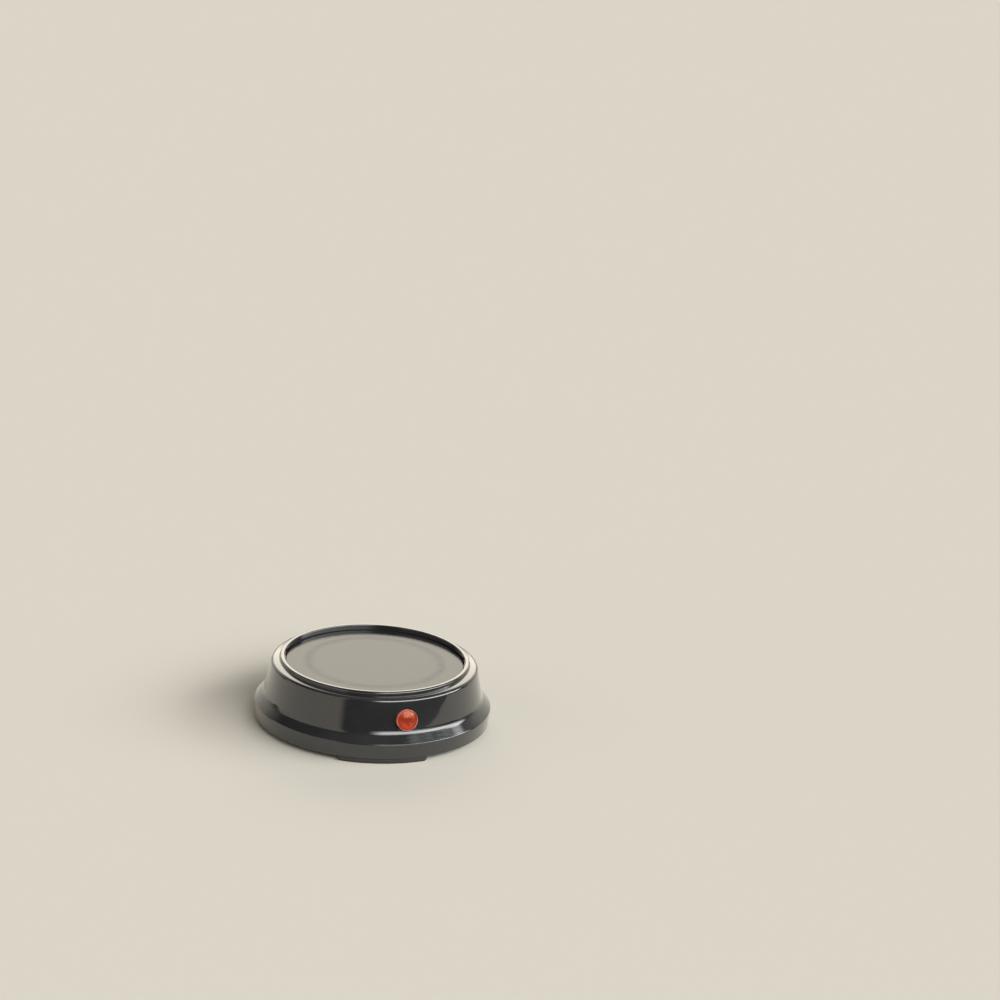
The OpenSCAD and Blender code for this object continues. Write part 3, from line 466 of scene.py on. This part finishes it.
# A grain is a field from 0 to 1 with features of a size in millimetres.


def smooth(t, size):
    """Soft clouds."""
    return t.noise(t.where(), size)


def moulded(t, size):
    """Even spark-eroded texture of a mould."""
    return t.times(t.cells(t.where(), size), t.noise(t.where(), size * 3))


def rolled(t, size):
    """Long fine lines that run along X."""
    return t.noise(t.where((0.04, 1, 1)), size, detail=5)


def turned(t, size):
    """Fine lines round the Z axis."""
    x, y, z = t.split(t.where())
    return t.lines(t.plus(t.length(x, y), z), size)


def felted(t, size):
    """Fibres that lie both ways in a sheet."""
    one_way = t.noise(t.where((0.12, 1, 1)), size, detail=4)
    other_way = t.noise(t.where((1, 0.12, 1)), size, detail=4)
    return t.math("MAXIMUM", one_way, other_way)


def flaked(t, size):
    """Overlapping thin flakes."""
    flakes = t.cells(t.where((1, 1, 0.3)), size, "Color")
    return t.times(flakes, t.noise(t.where(), size * 2))


def braided(t, size):
    """Two sets of threads that cross at an angle."""
    x, y, z = t.split(t.where())
    lean = t.plus(x, z)
    weave = t.join(t.plus(y, lean), t.math("SUBTRACT", y, lean))
    return t.math("MAXIMUM", t.stripes(weave, size, "X"), t.stripes(weave, size, "Y"))


# ---- Plain materials ------------------------------------------------------------------------

# For each slot: its grain, the grain's size and relief in mm, how far the colour and the
# roughness vary, then its roughness, metal and coat.
FINISH = {
    "seal_silicone": (moulded, 0.25, 0.01, 0.25, 0.1, 0.62, 0, 0),
    "mica": (flaked, 1.1, 0.03, 0.5, 0.25, 0.35, 0, 0.3),
    "heater_alloy": (rolled, 0.12, 0.004, 0.3, 0.15, 0.35, 1, 0),
    "plated_steel": (rolled, 0.15, 0.003, 0.15, 0.12, 0.3, 1, 0),
    "ceramic_fibre": (felted, 0.2, 0.12, 0.2, 0.1, 0.9, 0, 0),
    "shield_aluminium": (rolled, 0.2, 0.004, 0.12, 0.15, 0.33, 1, 0),
    "fastener_steel": (turned, 0.08, 0.003, 0.15, 0.12, 0.28, 1, 0),
    "fuse_metal": (rolled, 0.1, 0.003, 0.2, 0.12, 0.25, 1, 0),
    "glass_sleeving": (braided, 0.5, 0.08, 0.25, 0.1, 0.65, 0, 0),
    "spring_steel": (smooth, 0.3, 0.003, 0.2, 0.15, 0.28, 1, 0),
    "white_plastic": (moulded, 0.2, 0.006, 0.08, 0.1, 0.42, 0, 0),
    "switch_black": (moulded, 0.2, 0.008, 0.3, 0.1, 0.42, 0, 0),
    "terminal_brass": (rolled, 0.1, 0.003, 0.2, 0.15, 0.3, 1, 0),
    "resistor_body": (smooth, 0.4, 0.01, 0.25, 0.1, 0.35, 0, 0.5),
    "lead_white": (smooth, 0.8, 0.01, 0.1, 0.1, 0.5, 0, 0),
    "lead_black": (smooth, 0.8, 0.01, 0.3, 0.1, 0.5, 0, 0),
    "splice_nylon": (smooth, 0.6, 0.01, 0.1, 0.1, 0.38, 0, 0),
    "gland_rubber": (moulded, 0.2, 0.01, 0.3, 0.1, 0.6, 0, 0),
    "cover_black": (moulded, 0.35, 0.02, 0.35, 0.12, 0.5, 0, 0),
    "pad_rubber": (moulded, 0.3, 0.015, 0.3, 0.08, 0.75, 0, 0),
}
CLOUD = 12                  # size of the clouds in a plain material, in grains


def new_material(slot, rough, metal=0.0, coat=0.0):
    mat = bpy.data.materials.new(slot)
    mat.use_nodes = True
    shader = mat.node_tree.nodes["Principled BSDF"].inputs
    shader["Roughness"].default_value = rough
    shader["Metallic"].default_value = metal
    shader["Coat Weight"].default_value = coat
    return mat, Tree(mat.node_tree), shader


def recorded(slot):
    """The colour that the record gives a slot."""
    colours = {m["slot"]: m["base_color"] for m in RECORD["materials"]}
    return colours[slot][:3]


def shades(colour, share):
    """The colour made darker and paler by a share."""
    dark = rgba([c * (1 - share) for c in colour])
    light = rgba([min(1.0, c * (1 + share)) for c in colour])
    return dark, light


def grained(slot):
    """Material whose colour, roughness and relief follow its grain and broad clouds."""
    grain, size, relief, share, uneven, rough, metal, coat = FINISH[slot]
    mat, t, shader = new_material(slot, rough, metal, coat)
    field = grain(t, size)
    cloud = t.noise(t.where(), size * CLOUD)
    dark, light = shades(recorded(slot), share)
    t.put(shader["Base Color"], t.mix(t.times(t.plus(field, cloud), 0.6), dark, light))
    t.put(shader["Roughness"], t.step(cloud, 0.2, 0.8, rough - uneven, rough + uneven))
    t.put(shader["Normal"], t.bump(field, relief))
    return mat


# ---- Housing and plate ----------------------------------------------------------------------

# Sizes and places are in millimetres
SKIRT_Z = (10.0, 13.2)      # heights between which the flared skirt is straight
DUST_COLOUR = (0.16, 0.15, 0.14)
SPECK_EDGE = (0.03, 0.07)   # where a speck ends, from the middle of its cell, in cells
RUBBED_R = (29, 33)         # where mugs rub the plate


def specks(t, size, share):
    """Sparse round specks of dust: cells of a size, of which a share holds one."""
    near = t.fall(t.cells(t.where(), size), *SPECK_EDGE)
    chosen = t.math("LESS_THAN", t.cells(t.where(), size, "Color"), share)
    return t.times(near, chosen)


def housing_black():
    """Polished moulding: faint waves, rub marks, lines round the skirt and a little dust."""
    mat, t, shader = new_material("housing_black", rough=0.07, coat=1.0)
    dust = specks(t, size=1.6, share=0.42)
    dark, light = shades(recorded("housing_black"), share=0.25)
    body = t.mix(t.noise(t.where(), size=9), dark, light)
    t.put(shader["Base Color"], t.mix(dust, body, rgba(DUST_COLOUR)))
    scuffs = t.noise(t.where((0.1, 1, 0.6)), size=0.5, detail=6)
    rubbed = t.step(scuffs, 0.55, 0.85, to_low=0.05, to_high=0.16)
    t.put(shader["Roughness"], t.math("MAXIMUM", rubbed, t.times(dust, 0.6)))
    z = t.split(t.where())[2]
    drawn = t.times(t.lines(z, size=1.2), t.band(z, *SKIRT_Z, soft=0.4))
    skirt = t.bump(drawn, lift=0.015)
    waves = t.bump(t.noise(t.where(), size=5, detail=1), lift=0.004, under=skirt)
    t.put(shader["Normal"], waves)
    t.put(shader["Coat Normal"], waves)
    shader["Coat Roughness"].default_value = 0.03
    return mat


def plate_black():
    """Smooth nonstick coat on turned metal, rubbed in a ring where mugs stand."""
    mat, t, shader = new_material("plate_black", rough=0.2)
    x, y, _ = t.split(t.where())
    ring = t.band(t.length(x, y), *RUBBED_R, soft=1.5)
    rubbed = t.times(ring, t.noise(t.where(), size=3, detail=5))
    lines = turned(t, size=0.35)
    dark, light = shades(recorded("plate_black"), share=0.35)
    t.put(shader["Base Color"], t.mix(t.noise(t.where(), size=6), dark, light))
    gloss = t.step(lines, 0.3, 0.7, to_low=0.17, to_high=0.23)
    t.put(shader["Roughness"], t.plus(t.times(rubbed, 0.10), gloss))
    t.put(shader["Normal"], t.bump(lines, lift=0.003))
    shader["Specular IOR Level"].default_value = 0.42
    return mat


# ---- Button and lamp ------------------------------------------------------------------------

# Places on the button's face are in millimetres: X to the right, and V up from its centre.
LENS_Z = 19.85              # height of the centre
LENS_R = 4.45               # radius of the lens inside the rim
FACET = 2.3                 # size of the facets at the back of the lens
# Painted highlight: where the top of the lens is painted brighter, as if lit
HIGHLIGHT_X = (-1.8, 3.2)
HIGHLIGHT_V = (1.3, 2.5)         # where the painted highlight rises to its full strength
# Painted shade: a darker belt across the middle of the lens
SHADE_BELT_X = (-2.6, 2.2)
SHADE_BELT_V = (-0.9, 1.2)
SHADE_X = (-2.3, -1.6)      # where the shade on the left ends
SHADE_V = (-0.5, 1.0)       # where it starts
# Colour of the painted shade on the lens
RED_SHADE = (0.20, 0.025, 0.009)
RED_MID = (0.27, 0.035, 0.016)
RED_CLEAR = (0.46, 0.045, 0.018)
# Colours of the painted highlight
HIGHLIGHT_WARM = (0.33, 0.065, 0.030)
HIGHLIGHT_BRIGHT = (0.52, 0.125, 0.060)
# Colours of the rim, the paler one a painted reflection
RIM_DIM = (0.28, 0.075, 0.060)
RIM_SHEEN = (0.55, 0.17, 0.12)


def paint_shade(t, body, mask, share):
    """Paints shade: takes a share of the colour to deep red where the mask is."""
    return t.mix(t.times(mask, share), body, rgba(RED_SHADE))


def lens_red(t, x, v, face, fine):
    """Facets, a painted highlight near the top, a belt of painted shade across the middle and painted shade on the
    left.
    """
    facets = t.cells(face, FACET, "Color")
    tone = t.plus(t.times(facets, 0.6), t.times(fine, 0.5))
    body = t.mix(t.step(tone, 0.3, 0.75), rgba(RED_MID), rgba(RED_CLEAR))
    uneven = t.times(t.noise(face, size=1.6), 1.6)
    # Painted highlight near the top of the lens, in warm and bright reds
    painted_highlight = t.times(t.step(t.plus(v, uneven), *HIGHLIGHT_V), t.band(x, *HIGHLIGHT_X, soft=0.6))
    patch = t.mix(t.step(fine, 0.35, 0.6), rgba(HIGHLIGHT_WARM), rgba(HIGHLIGHT_BRIGHT))
    body = t.mix(painted_highlight, body, patch)
    # Painted shade across the middle of the lens
    shade_belt = t.times(t.band(v, *SHADE_BELT_V, soft=0.7), t.band(x, *SHADE_BELT_X, soft=1.0))
    body = paint_shade(t, body, shade_belt, share=0.8)
    shade = t.times(t.step(v, *SHADE_V), t.fall(x, *SHADE_X))
    return paint_shade(t, body, shade, share=0.6)


def button_red():
    """Clear red lens with facets at its back and painted light and shade, inside a rim painted paler in patches as
    a reflection.
    """
    mat, t, shader = new_material("button_red", rough=0.1)
    x, _, z = t.split(t.where())
    v = t.math("SUBTRACT", z, LENS_Z)
    radius = t.length(x, v)
    face = t.where((1, 0, 1))
    fine = t.noise(face, size=1.2)
    body = lens_red(t, x, v, face, fine)
    # Painted shade in the groove where the lens meets its rim
    edge = t.band(radius, LENS_R - 0.45, LENS_R + 0.05, soft=0.12)
    body = paint_shade(t, body, edge, share=0.6)
    # Painted reflection: the rim is made paler in patches, as its rounded top would mirror light
    rim_sheen = t.step(t.noise(face, size=3.0), 0.4, 0.6)
    rim = t.mix(rim_sheen, rgba(RIM_DIM), rgba(RIM_SHEEN))
    body = t.mix(t.step(radius, LENS_R + 0.05, LENS_R + 0.25), body, rim)
    t.put(shader["Base Color"], body)
    t.put(shader["Roughness"], t.step(fine, 0.3, 0.8, to_low=0.07, to_high=0.16))
    ripple = t.bump(t.noise(face, size=2.2, detail=1), lift=0.25)
    t.put(shader["Normal"], t.bump(t.cells(face, FACET), lift=0.12, under=ripple))
    shader["Specular IOR Level"].default_value = 0.2
    return mat


def lamp_glass():
    """Clear tinted envelope of the lamp."""
    mat, t, shader = new_material("lamp_glass", rough=0.06)
    dark, light = shades(recorded("lamp_glass"), share=0.12)
    cloud = t.noise(t.where(), size=1.2)
    t.put(shader["Base Color"], t.mix(cloud, dark, light))
    t.put(shader["Roughness"], t.step(cloud, 0.3, 0.7, to_low=0.04, to_high=0.1))
    shader["Transmission Weight"].default_value = 0.75
    shader["IOR"].default_value = 1.47
    return mat


# ---- Dressing -------------------------------------------------------------------------------

# Materials made by a function of their own, which has the slot's name
MADE = [housing_black, plate_black, button_red, lamp_glass]


def dress():
    """Gives each node and the spring the material of its slot."""
    materials = {slot: grained(slot) for slot in FINISH}
    materials.update({make.__name__: make() for make in MADE})
    for part in RECORD["subparts"]:
        mesh = NODES[part["node"]].data
        mesh.materials.clear()
        mesh.materials.append(materials[part["material_slot"]])
    spring.data.materials.append(materials["spring_steel"])


dress()
